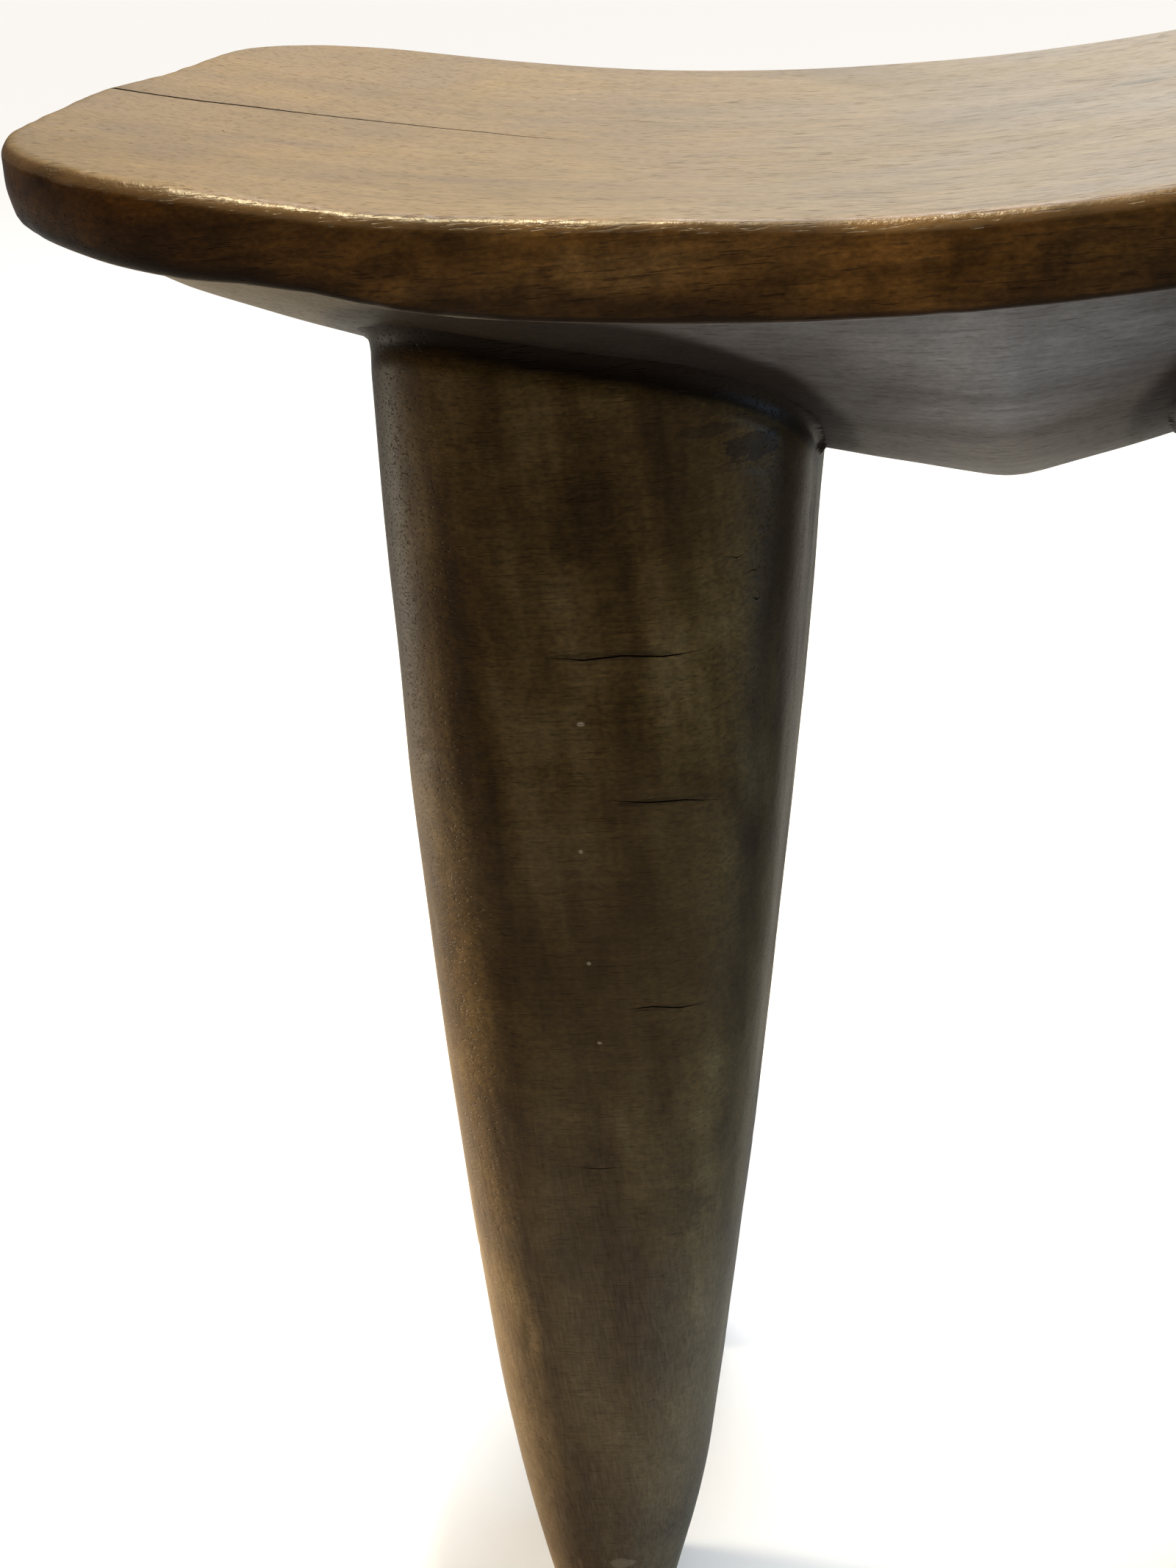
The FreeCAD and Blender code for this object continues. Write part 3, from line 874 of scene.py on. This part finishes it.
front_left_cracks = [
    leg_crack(0, [(-0.0800, 0.2408), (-0.0730, 0.2400), (-0.0660, 0.2405), (-0.0585, 0.2398),
                  (-0.0515, 0.2402)], 0.00050, 0.0026),
    leg_crack(0, [(-0.0720, 0.2122), (-0.0650, 0.2114), (-0.0580, 0.2112), (-0.0516, 0.2100)],
              0.00044, 0.0026),
    leg_crack(0, [(-0.0746, 0.1672), (-0.0690, 0.1676), (-0.0640, 0.1668), (-0.0596, 0.1670)],
              0.00046, 0.0026),
    leg_crack(0, [(-0.0455, 0.2568), (-0.0442, 0.2562), (-0.0428, 0.2566)], 0.00070, 0.0010),
    leg_crack(0, [(-0.0428, 0.2528), (-0.0417, 0.2532), (-0.0408, 0.2527)], 0.00060, 0.0010),
    leg_crack(0, [(-0.0424, 0.2480), (-0.0418, 0.2474), (-0.0411, 0.2478)], 0.00080, 0.0012),
    leg_crack(0, [(-0.0900, 0.1300), (-0.0850, 0.1296), (-0.0790, 0.1301)], 0.00036, 0.0024),
]
for number, (piece, node) in enumerate(pieces[2:]):
    cracks = front_left_cracks if number == 0 else scattered_cracks(number, 70 + number)
    cut(piece, cracks, "leg_cracks", crack_wood)

for piece, node in pieces:
    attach(piece, "root")
    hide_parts(node)


# ---------------------------------------------------------------- floor, light and camera

def make_floor():
    """A wide pale floor just under the feet."""
    mesh = bpy.data.meshes.new("floor")
    reach = 14.0
    mesh.from_pydata([(-reach, -reach, 0), (reach, -reach, 0), (reach, reach, 0), (-reach, reach, 0)],
                     [], [(0, 1, 2, 3)])
    floor = bpy.data.objects.new("floor", mesh)
    bpy.context.scene.collection.objects.link(floor)
    material = bpy.data.materials.new("pale_floor")
    material.use_nodes = True
    shader = material.node_tree.nodes["Principled BSDF"]
    shader.inputs["Base Color"].default_value = (0.86, 0.865, 0.88, 1)
    shader.inputs["Roughness"].default_value = 0.9
    shader.inputs["Specular IOR Level"].default_value = 0.0
    mesh.materials.append(material)
    floor.location.z = cad_low.z - 0.0005


def add_light(name, kind, place, aim, energy, colour, size, spread=180):
    """A light at place, aimed at a point; size is two sides in metres, or the sun's angle."""
    data = bpy.data.lights.new(name, kind)
    data.energy = energy
    data.color = colour
    if kind == "AREA":
        data.shape = "RECTANGLE"
        data.size, data.size_y = size
        data.spread = math.radians(spread)
    else:
        data.angle = size
    light = bpy.data.objects.new(name, data)
    light.location = place
    light.rotation_mode = "QUATERNION"
    light.rotation_quaternion = (Vector(aim) - Vector(place)).to_track_quat("-Z", "Y")
    bpy.context.scene.collection.objects.link(light)


def make_world():
    """White behind the object, and a dimmer warm grey for what it lights."""
    world = bpy.data.worlds.new("studio")
    bpy.context.scene.world = world
    world.use_nodes = True
    n = Nodes(world.node_tree)
    n.tree.nodes.clear()
    seen = n.new("ShaderNodeBackground")
    seen.inputs["Color"].default_value = (0.975, 0.965, 0.95, 1)
    lit = n.new("ShaderNodeBackground")
    lit.inputs["Color"].default_value = (1.0, 0.94, 0.86, 1)
    lit.inputs["Strength"].default_value = 0.17
    path = n.new("ShaderNodeLightPath")
    mix = n.new("ShaderNodeMixShader")
    n.link(path.outputs["Is Camera Ray"], mix.inputs["Fac"])
    n.link(lit.outputs["Background"], mix.inputs[1])
    n.link(seen.outputs["Background"], mix.inputs[2])
    output = n.new("ShaderNodeOutputWorld")
    n.link(mix.outputs["Shader"], output.inputs["Surface"])


def make_camera():
    """The photo's viewing angle."""
    data = bpy.data.cameras.new("camera")
    data.sensor_width = 36.0
    data.sensor_fit = "AUTO"
    data.lens = 51.98
    data.clip_start = 0.02
    camera = bpy.data.objects.new("camera", data)
    bpy.context.scene.collection.objects.link(camera)
    yaw, pitch, roll = (math.radians(a) for a in (-13.74, 22.63, -7.60))
    forward = Vector((math.sin(yaw) * math.cos(pitch), math.cos(yaw) * math.cos(pitch),
                      -math.sin(pitch)))
    right = Vector((math.cos(yaw), -math.sin(yaw), 0))
    up = right.cross(forward)
    x = right * math.cos(roll) + up * math.sin(roll)
    y = up * math.cos(roll) - right * math.sin(roll)
    seat_top = Vector((0, 0, DISH_LOW))
    place = seat_top + Vector((0.0156, -0.4542, 0.0602))
    camera.matrix_world = Matrix.Translation(place) @ Matrix((x, y, -forward)).transposed().to_4x4()
    bpy.context.scene.camera = camera


make_floor()
make_world()
add_light("key", "SUN", (0.20, 1.2, 1.35), (0, 0, 0), 4.0, (1.0, 0.97, 0.92), math.radians(40))
add_light("back_window", "AREA", (0.40, 2.1, 1.10), (0.05, 0, 0.3),
          15, (0.80, 0.94, 1.0), (0.9, 0.8))
add_light("lamp", "AREA", (-0.22, -0.10, 1.2), (-0.08, -0.08, 0.3),
          16, (1.0, 0.84, 0.52), (0.035, 0.035))
add_light("left_glow", "AREA", (-0.80, 0.03, 0.16), (-0.12, -0.05, 0.13),
          1.3, (1.0, 0.88, 0.68), (0.20, 0.14), 25)
add_light("right_window", "AREA", (0.80, -0.22, 0.08), (-0.07, -0.05, 0.11),
          1.3, (0.36, 0.65, 1.0), (0.30, 0.20), 40)
make_camera()
bpy.context.scene.view_settings.view_transform = "Standard"
